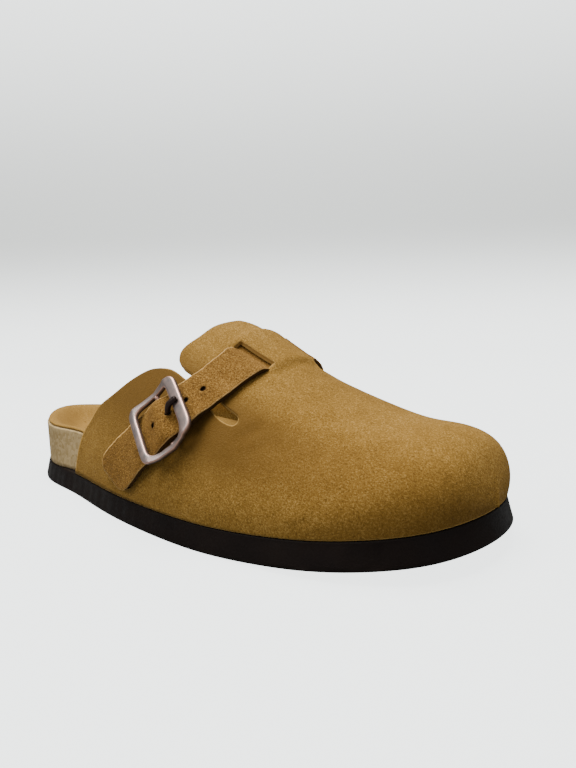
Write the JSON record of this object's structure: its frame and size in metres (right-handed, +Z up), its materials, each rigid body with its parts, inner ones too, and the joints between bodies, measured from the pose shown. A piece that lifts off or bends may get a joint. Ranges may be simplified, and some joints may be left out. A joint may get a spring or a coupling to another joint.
{
  "type": "clog",
  "caption": "Slip-on suede clog with a cork footbed, flat dark outsole and a buckled strap that passes under a bridge over the instep.",
  "frame": {"origin": "on the floor, below the middle of the shoe's box", "axes": "+X towards the toe, +Y towards the inner side of the foot, +Z up"},
  "size_m": [0.28, 0.1104, 0.0841],
  "materials": {
    "suede": "napped golden tan suede, matt",
    "strap_suede": "coarse napped tan suede with raw edges",
    "lining_suede": "fine golden tan suede lining",
    "cork": "pale sealed cork",
    "outsole_foam": "very dark brown moulded foam, satin",
    "buckle_metal": "antique copper plating, brushed, worn grey on the flats"
  },
  "bodies": {
    "root": {"outsole": "outsole_foam", "footbed": "cork", "insole": "lining_suede", "upper": "suede", "strap": "strap_suede", "buckle_frame": "buckle_metal", "buckle_prong": "buckle_metal", "buckle_tab": "strap_suede"}
  },
  "joints": []
}
